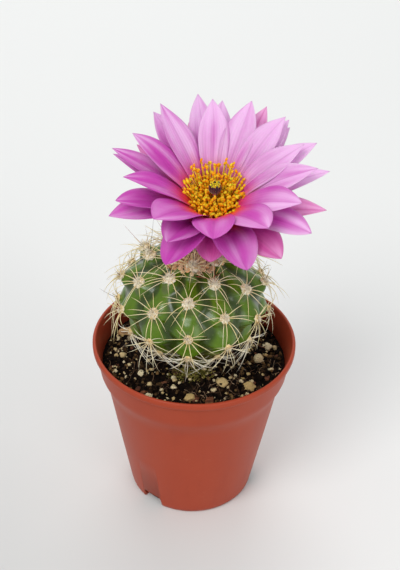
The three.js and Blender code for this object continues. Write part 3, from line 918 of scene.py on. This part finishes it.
for azimuth, latitude, here, normal, north, east, size in areole_frames:
    low = float(ease(5, -35, latitude))
    high = float(ease(30, 72, latitude))
    count = rng.randrange(11, 14)
    for k in range(count):
        turn = FULL_TURN * (k + 0.5 + jitter(0.35)) / count
        # Low areoles turn their spines down over the soil.
        turn = math.pi + (turn - math.pi) * (1 - 0.4 * low)
        flat = north * math.cos(turn) + east * math.sin(turn)
        downward = max(0.0, -math.cos(turn))
        lift = math.radians(rng.uniform(16, 38) + 8 * high)
        direction = flat * math.cos(lift) + normal * math.sin(lift)
        length = rng.uniform(6.2, 8.6) + 1.2 * low * downward + rng.uniform(0, 1.4) * downward
        sink = -normal * rng.uniform(0.22, 0.5) + east * jitter(0.24)
        sink = sink - north * rng.uniform(0, 0.32)
        tone = min(1.0, 0.3 + 0.6 * low + rng.uniform(-0.15, 0.2))
        foot = here + normal * size * 0.25 + flat * size * 0.35
        add_spine(pale, foot, direction, sink, length, rng.uniform(0.09, 0.125), tone, 0.1 * low)
    centrals = 3 if latitude > 45 else (1 if latitude > 0 or rng.random() < 0.3 else 0)
    for _ in range(centrals):
        lean = unit(normal * 0.8 + north * rng.uniform(-0.4, 0.9) + east * jitter(0.8))
        curl = np.array([jitter(0.15), jitter(0.15), rng.uniform(-0.1, 0.25)])
        add_spine(dark, here + normal * size * 0.3, lean, curl,
                  rng.uniform(5, 9.0) * (0.75 + 0.4 * high), 0.06, rng.random() ** 2 * 0.9)

# %% [markdown]
# ## Crown
# New growth starts in the middle of the crown, where the wool is thickest and the young spines are
# still red. The cushion is a heap of small tufts over the top of the globe, in place of the CAD dome.

# %% Crown wool and young spines
felt_finish = Finish("crown_felt", Specular_IOR_Level=0.15, Sheen_Weight=0.25, Sheen_Roughness=0.5)
felt_tone = felt_finish.mark("tone")
felt_share = felt_tone * 0.75 + felt_finish.cloud(900) * 0.35
felt_finish.wear(Roughness=0.92, Base_Color=felt_finish.ramp(felt_share, [
    (0.1, 236, 158, 96), (0.5, 255, 200, 142), (0.9, 255, 238, 210)]))
felt_finish.relief(felt_finish.cloud(2600, 3.0, 0.7), 0.25, 0.8)
felt = Bundle()
FELT_TUFTS = 90
CROWN_SPINES = 64
for k in range(FELT_TUFTS):
    # The felt thins out as it runs down between the first ribs.
    latitude = 89 - 24 * math.sqrt((k + 0.5) / FELT_TUFTS)
    here, normal, _, _ = skin_frame(k * GOLDEN_ANGLE, latitude)
    size = rng.uniform(0.7, 1.05) * (1 - 0.4 * k / FELT_TUFTS)
    add_tuft(felt, here + normal * 0.3, normal, size, 100, rng.uniform(0.5, 0.9), 0.4)
make_piece("crown_felt", felt, felt_finish, ["crown_wool"])

for k in range(CROWN_SPINES):
    here, normal, north, east = skin_frame(k * GOLDEN_ANGLE + 40, rng.uniform(58, 86))
    lean = unit(normal * 0.9 + north * rng.uniform(-0.6, 0.5) + east * jitter(0.7))
    bundle = dark if k % 4 else pale
    tone = rng.uniform(0.5, 1.0) if k % 2 else rng.uniform(0.0, 0.2)
    add_spine(bundle, here + normal * 0.5, lean, np.array([0, 0, rng.uniform(-0.1, 0.15)]),
              rng.uniform(3.0, 5.6), rng.uniform(0.08, 0.13), tone)
make_piece("pale_spines", pale, pale_finish)
make_piece("dark_spines", dark, dark_finish)

# %% [markdown]
# ## The flower's own frame
# The flower leans to the front, so its parts are easier to build upright in a frame of their own and
# then to tilt. The CAD pistil stands on the flower's axis, so the long direction of its points gives
# that axis, and its lower end gives the throat.

# %% Flower frame
pistil_points = node_points("pistil")
_, _, spread = np.linalg.svd(pistil_points - pistil_points.mean(0))
FLOWER_UP = spread[0] * np.sign(spread[0][2])
FLOWER_SIDE = unit(np.cross(np.array([0, 1, 0]), FLOWER_UP))
FLOWER_BACK = np.cross(FLOWER_UP, FLOWER_SIDE)
FLOWER_AXES = np.stack([FLOWER_SIDE, FLOWER_BACK, FLOWER_UP])
heights = pistil_points @ FLOWER_UP
axis_point = pistil_points[heights < heights.min() + 0.05].mean(0)
THROAT = axis_point + FLOWER_UP * 0.9
print("throat:", THROAT.round(1), "lean:", round(math.degrees(math.acos(FLOWER_UP[2])), 1))


def to_flower(points):
    return (np.asarray(points) - THROAT) @ FLOWER_AXES.T


def from_flower(points):
    return np.asarray(points) @ FLOWER_AXES + THROAT


# %% [markdown]
# ## Petals
# Thirty-six separate petals sit in four shells. Each is measured on its own CAD solid (where it starts,
# where its tip is, how wide and how arched it is) and then lofted finely: narrow foot, widest past the
# middle, a small point at the tip, a channel down the middle and soft lengthwise pleats. The colour
# runs from orange-red in the throat through magenta to pale lilac; back petals carry painted light, front
# ones painted shade.

# %% Petal finish
def petal_finish(name, deep, pale_tint, foot_tint, vein_tint):
    finish = Finish(name, Specular_IOR_Level=0.22, Subsurface_Weight=0.3, Subsurface_Scale=0.001)
    finish.shader.inputs["Subsurface Radius"].default_value = (1.0, 0.5, 1.0)
    along, across, tone = finish.mark("along"), finish.mark("across"), finish.mark("tone")
    drift = finish.cloud(180, 3.0, 0.55)
    # The streak mark is random blush plus painted light: a painted highlight on the folds, painted shade in
    # the channel.
    blush_and_fold_light = finish.mark("streak")
    # The tone mark is painted light: paler on petals towards the back, deeper on those at the front.
    share = tone * 0.85 + along * 0.35 + drift * 0.25 + blush_and_fold_light * 0.3 - 0.42
    colour = finish.mix(finish.between(share, 0.0, 1.0), deep, pale_tint)
    lines = (across * 34.0 + drift * 3.0).sine() * 0.5 + 0.5
    faint = lines * finish.between(along, 1.0, 0.2) * 0.16
    colour = finish.mix(faint, colour, vein_tint)
    middle = finish.between(across * across, 0.01, 0.0) * finish.between(along, 0.1, 0.6) * 0.16
    colour = finish.mix(middle, colour, vein_tint)
    depth = along + drift * 0.1 + tone * 0.2 - blush_and_fold_light * 0.06
    colour = finish.mix(finish.between(depth, 0.7, 0.3) * 0.92, colour, foot_tint)
    colour = finish.mix(finish.between(depth, 0.48, 0.24) * 0.85, colour, paint(248, 90, 28))
    # The back of a petal is duller and turns green towards the tube.
    under = finish.mark("under")
    colour = finish.mix(under * finish.between(along, 0.7, 0.1) * 0.8, colour, paint(164, 96, 104))
    colour = finish.mix(under * finish.between(along, 0.3, 0.05) * 0.9, colour, paint(126, 116, 60))
    colour = finish.mix(finish.between(along, 0.97, 1.0) * 0.3, colour, vein_tint)
    finish.wear(Base_Color=colour, Roughness=0.45 + drift * 0.2)
    finish.relief(lines * 0.6 + finish.cloud(1500, 2.0) * 0.6, 0.06, 0.6)
    return finish


silk = petal_finish("lilac_petal", paint(196, 68, 172), paint(240, 184, 235),
                    paint(222, 36, 84), paint(146, 36, 124))
sepal = petal_finish("rosy_petal", paint(202, 76, 150), paint(238, 160, 208),
                     paint(190, 36, 60), paint(140, 30, 76))


# %% Petal shape
PETAL_ROWS = 32
PETAL_ACROSS = 17
PETAL_THICKNESS = 0.2


def measure_petal(node):
    """Foot, tip, azimuth, width and arch of a CAD petal in the flower's frame."""
    points = to_flower(node_points(node))
    tip = points[np.argmax(np.linalg.norm(points, axis=1))]
    far = points[np.argmax(np.linalg.norm(points - tip, axis=1))]
    foot = points[np.linalg.norm(points - far, axis=1) < 1.6].mean(0)
    chord = tip - foot
    azimuth = math.degrees(math.atan2(tip[0], -tip[1]))
    side = around(azimuth + 90)
    lift = unit(np.cross(side, chord))
    lift = lift * np.sign(lift[2])
    share = (points - foot) @ chord / (chord @ chord)
    middle = points[(share > 0.35) & (share < 0.65)]
    width = 2 * np.abs((points - foot) @ side).max()
    return foot, tip, azimuth, width, float(((middle - foot) @ lift).mean())


def half_width(t, width, blunt):
    """Half the width along a petal; a blunt one is widest nearer its tip and rounder there."""
    blade = np.sin(math.pi * t ** (1.6 + 0.35 * blunt)) ** (1.02 - 0.3 * blunt)
    return width * (0.43 + 0.07 * blunt) * (0.68 * (1 - t) + blade)


def petal_bundle(node, roll, droop, tone, blunt):
    """A petal along a bent spine: an outline across it, then a cup, a channel, pleats and a ruffle."""
    foot, tip, azimuth, width, arch = measure_petal(node)
    side = around(azimuth + 90)
    chord = tip - foot
    lift = unit(np.cross(side, chord))
    lift = lift * np.sign(lift[2])
    bend = (foot + tip) / 2 + lift * 2 * arch
    t = np.linspace(0.0, 0.998, PETAL_ROWS)
    # The rows crowd towards the tip, where the outline turns fastest.
    t = 1 - (1 - t) ** 1.25
    spine = bent(foot, bend, tip, t[:, None])
    spine = spine - lift * (droop * ease(0.45, 1.0, t) ** 1.6)[:, None]
    along = np.gradient(spine, axis=0)
    along /= np.linalg.norm(along, axis=1)[:, None]
    seed = rng.uniform(0, 60)
    twist = np.radians(roll + 5 * np.sin(t * 2.2 + seed) - 2)
    normal = np.cross(side, along)
    normal *= np.sign(normal[:, 2:3])
    sideways = side * np.cos(twist)[:, None] + normal * np.sin(twist)[:, None]
    up = normal * np.cos(twist)[:, None] - side * np.sin(twist)[:, None]
    u = np.linspace(-1, 1, PETAL_ACROSS)
    half = half_width(t, width, blunt)
    sway = 0.35 * np.sin(t * 3.0 + seed) * ease(0.3, 0.9, t)
    cup = 0.27 * np.outer(half, u ** 2) * (1 - 0.5 * t)[:, None]
    channel = -0.2 * np.outer(ease(0.0, 0.3, t) * (1 - 0.6 * t), np.exp(-(u / 0.16) ** 2))
    waves = np.cos(u * math.pi * 3.2 + seed)
    pleats = 0.13 * np.outer(ease(0.1, 0.4, t) * (1 - 0.5 * t), waves) * (1 - u ** 4)
    swing = np.sin(t * 9 + seed)[:, None] * np.sign(u)
    ruffle = 0.28 * np.outer(ease(0.35, 0.9, t), np.abs(u) ** 3) * swing
    full = np.minimum(1, half / half.max())[:, None]
    offset = cup + (channel + pleats + ruffle) * full
    skin = spine[:, None] + sideways[:, None] * (np.outer(half, u) + sway[:, None])[..., None]
    skin = skin + up[:, None] * offset[..., None]
    thick = PETAL_THICKNESS / 2 * np.outer(1 - 0.55 * t, 1 - 0.75 * u ** 4)
    upper = (skin + up[:, None] * thick[..., None]).reshape(-1, 3)
    lower = (skin - up[:, None] * thick[..., None]).reshape(-1, 3)
    points = np.concatenate([upper, lower])
    faces = sheet_faces(PETAL_ROWS, PETAL_ACROSS)
    bundle = Bundle()
    # Broad soft streaks: random blush, plus a painted highlight on the two folds and painted shade in the
    # channel and at the edges.
    painted_fold_light = np.exp(-((np.abs(u) - 0.45) / 0.22) ** 2) - 0.5
    blush = np.array([[noise.noise(Vector((v * 2.2 + seed, place * 2.4, seed))) for v in u] for place in t])
    streak = np.outer(0.15 + 0.3 * t, painted_fold_light) + blush * 1.7
    bundle.add(from_flower(points), faces, tone=tone,
               along=np.tile(np.repeat(t, PETAL_ACROSS), 2), across=np.tile(u, 2 * PETAL_ROWS),
               streak=np.tile(streak.ravel(), 2), under=np.repeat([0.0, 1.0], len(upper)))
    return bundle


# %% Petal pieces
# Each shell's roll in degrees and the droop of its tips in millimetres.
SHELLS = {
    "petal_inner": (8, 0.3),
    "petal_middle": (5, 0.6),
    "petal_lower": (4, 1.4),
    "petal_outer": (3, 0.9),
}
PAINTED_LIGHT_AZIMUTH = 150
for shell, (roll, droop) in SHELLS.items():
    for node in nodes_named(shell):
        azimuth = measure_petal(node)[2]
        # Painted light: petals towards the back right are painted paler as if lit, those at the front deeper
        # as if shaded.
        painted_light_share = (1 + math.cos(math.radians(azimuth - PAINTED_LIGHT_AZIMUTH))) / 2
        frontness = max(0.0, math.cos(math.radians(azimuth)))
        tone = min(1.0, max(0.0, 0.2 + 0.86 * painted_light_share + jitter(0.08)))
        bundle = petal_bundle(node, roll, droop * (0.4 + 1.6 * frontness), tone, frontness)
        finish = sepal if shell == "petal_outer" else silk
        make_piece("fine_" + node, bundle, finish, [node])

# %% [markdown]
# ## Tube, stamens and pistil
# The petals grow from a short tube covered with small scales, tan wool and bristles. Inside it stands a
# crowd of stamens: thin orange filaments that lean outward, each with a yellow anther. The pistil rises
# from the middle with a dark lobed stigma dusted with pollen.

# %% Flower tube
tube_finish = Finish("scaly_tube", Specular_IOR_Level=0.3)
tube_mottle = tube_finish.cloud(500, 4.0)
tube_finish.wear(Roughness=0.7, Base_Color=tube_finish.ramp(tube_mottle, [
    (0.3, 74, 78, 36), (0.5, 120, 108, 56), (0.7, 168, 120, 78)]))
tube_finish.relief(tube_mottle, 0.2, 0.6)
TUBE_OUTLINE = [
    (0, -13.6), (2.7, -13.6), (2.9, -10.5), (3.15, -8.0), (3.6, -6.0), (4.1, -4.5), (4.55, -3.2), (4.5, -2.4),
    (4.2, -1.2), (3.7, -0.2), (3.3, 0.15), (3.0, 0.0), (2.7, -2.4), (1.8, -6.5), (1.2, -8.0), (0, -8.4),
]
TUBE_WALL = np.array(TUBE_OUTLINE[1:7])
TUBE_SCALES = 54
TUBE_HAIRS = 620


def on_tube(share):
    """Radius and height of the tube's wall at a share of the way up to the petals."""
    height = -13.0 + 9.6 * share
    return np.interp(height, TUBE_WALL[:, 1], TUBE_WALL[:, 0]), height


tube_points, tube_faces = lathe(TUBE_OUTLINE, 64)
tube_bundle = Bundle()
tube_bundle.add(from_flower(tube_points), tube_faces)
scale_points, scale_faces = ball(2)
for k in range(TUBE_SCALES):
    share = (k + 0.5) / TUBE_SCALES
    radius, height = on_tube(share)
    azimuth = k * GOLDEN_ANGLE
    shape = scale_points * np.array([0.5, 0.16, 1.0]) * (0.8 + 0.7 * share)
    turn = np.array(Quaternion((0, 0, 1), math.radians(azimuth)).to_matrix())
    spot = around(azimuth, radius, height) + around(azimuth) * 0.12
    tube_bundle.add(from_flower(shape @ turn.T + spot), scale_faces)
make_piece("scaly_tube", tube_bundle, tube_finish, ["flower_tube"])

tube_hair, bristles = Bundle(), Bundle()
for k in range(TUBE_HAIRS):
    radius, height = on_tube(rng.random())
    azimuth = rng.uniform(0, 360)
    spot = around(azimuth, radius - 0.1, height)
    out = unit(around(azimuth + jitter(50), 1.0, rng.uniform(0.3, 1.6)))
    swirl = random_vector(0.35)
    reach = rng.uniform(0.7, 1.6)
    path = [spot, spot + out * reach * 0.5 + swirl * 0.3, spot + out * reach * 0.8 + swirl]
    points, faces = tube(path, (0.06, 0.05, 0.02), 3)
    tube_hair.add(from_flower(points), faces, tone=rng.uniform(0.2, 0.7))
    if k % 9 == 0:
        path = spine_path(spot, out, np.array([0, 0, 0.25]), rng.uniform(2.6, 4.6))
        points, faces = tube(path, 0.08 * SPINE_TAPER, 4)
        bristles.add(from_flower(points), faces, tone=rng.uniform(0.1, 0.9))
make_piece("tube_wool", tube_hair, felt_finish)
make_piece("tube_bristles", bristles, dark_finish)

# %% Stamens
filament_finish = Finish("filaments", Specular_IOR_Level=0.3, Roughness=0.5, Subsurface_Weight=0.7,
                         Subsurface_Scale=0.003)
filament_along = filament_finish.mark("along")
filament_finish.wear(Base_Color=filament_finish.ramp(filament_along, [
    (0.0, 255, 120, 0), (0.5, 255, 158, 0), (1.0, 255, 205, 40)]))
anther_finish = Finish("anthers", Specular_IOR_Level=0.25, Subsurface_Weight=0.6, Subsurface_Scale=0.003)
pollen = anther_finish.cloud(3200, 3.0, 0.7)
anther_tone = anther_finish.mark("tone")
anther_finish.wear(Roughness=0.8, Base_Color=anther_finish.ramp(anther_tone * 0.7 + pollen * 0.4, [
    (0.1, 255, 142, 0), (0.5, 255, 176, 10), (0.95, 255, 214, 50)]))
anther_finish.relief(pollen, 0.12, 0.8)
ANTHER_BALL = ball(2)
STAMENS = 330
FILAMENT_STEPS = 7
filaments, anthers = Bundle(), Bundle()
for k in range(STAMENS):
    share = math.sqrt((k + 0.6) / STAMENS)
    azimuth = k * GOLDEN_ANGLE + jitter(5)
    # The ones at the back stand taller and further out.
    back = (1 - math.cos(math.radians(azimuth))) / 2
    reach = (7.2 + 0.8 * back) * max(0.26, share) + jitter(0.3)
    height = 4.6 + 1.6 * (1 - share) * (1 - back) + (4.0 * back - 1.6 * (1 - back)) * share
    height += jitter(0.9)
    if share > 0.8 and back > 0.4:
        height += rng.uniform(-0.6, 2.4)
        reach += rng.uniform(-0.2, 0.9)
    foot = around(azimuth, 1.6 + 1.2 * share, -3.0 + 2.2 * share)
    head = around(azimuth + jitter(8), reach, height)
    knee = around(azimuth, 1.8 + reach * 0.35, height * 0.42)
    t = np.linspace(0, 1, FILAMENT_STEPS)[:, None]
    points, faces = tube(bent(foot, knee, head, t), np.linspace(0.24, 0.1, FILAMENT_STEPS))
    filaments.add(from_flower(points), faces, along=np.repeat(t[:, 0], 5))
    shape = lump(ANTHER_BALL[0], k * 0.7, 0.14, 2.0) * np.array([0.38, 0.32, 0.56])
    shape = shape * rng.uniform(0.85, 1.15)
    facing = unit(head - knee + random_vector(2.5))
    shape = turned(shape, facing, rng.uniform(0, 6)) + head
    anthers.add(from_flower(shape), ANTHER_BALL[1], tone=rng.random())
make_piece("filaments", filaments, filament_finish, ["stamens"])
make_piece("anthers", anthers, anther_finish)

# %% Pistil
stigma_finish = Finish("stigma", Specular_IOR_Level=0.4, Roughness=0.5, Sheen_Weight=0.4,
                       Sheen_Roughness=0.4)
stigma_tone = stigma_finish.mark("tone")
stigma_finish.wear(Base_Color=stigma_finish.ramp(stigma_tone, [
    (0.0, 214, 120, 96), (0.4, 96, 22, 54), (0.9, 52, 12, 34)]))
stigma_finish.relief(stigma_finish.cloud(3600, 2.0, 0.7), 0.1, 0.9)
pistil_top = float(heights.max() - heights.min()) - 0.9
STIGMA_LOBES = 10
PISTIL_STEPS = 9
POLLEN_GRAINS = 60
pistil = Bundle()
style_path = [(0, 0, z) for z in np.linspace(-1.5, pistil_top - 2.4, PISTIL_STEPS)]
points, faces = tube(style_path, np.linspace(0.5, 0.42, PISTIL_STEPS), 10)
pistil.add(from_flower(points), faces, tone=0.1)
t = np.linspace(0, 1, PISTIL_STEPS)[:, None]
lobe_radii = 0.42 * np.sin(math.pi * (0.2 + 0.68 * t[:, 0])) ** 0.5
for k in range(STIGMA_LOBES):
    azimuth = k * 360 / STIGMA_LOBES + jitter(6)
    base = around(azimuth, 0.3, pistil_top - 2.6)
    knee = around(azimuth, rng.uniform(1.5, 1.9), pistil_top - 1.5)
    head = around(azimuth + jitter(12), rng.uniform(0.7, 1.3), pistil_top + jitter(0.4))
    points, faces = tube(bent(base, knee, head, t), lobe_radii, 8)
    pistil.add(from_flower(points), faces, tone=np.repeat(0.45 + 0.55 * t[:, 0], 8))
make_piece("pistil_fine", pistil, stigma_finish, ["pistil"])
dusting = Bundle()
for _ in range(POLLEN_GRAINS):
    spot = around(rng.uniform(0, 360), 1.3 * math.sqrt(rng.random()), pistil_top + rng.uniform(-0.1, 0.45))
    grain = ANTHER_BALL[0] * rng.uniform(0.1, 0.24) + spot
    dusting.add(from_flower(grain), ANTHER_BALL[1], tone=rng.uniform(0.6, 1))
make_piece("stigma_pollen", dusting, anther_finish)

# %% [markdown]
# ## Last update
# The finer pieces may stand a little proud of the CAD solids, as wool and spines do.

# %% Update the scene
bpy.context.view_layer.update()
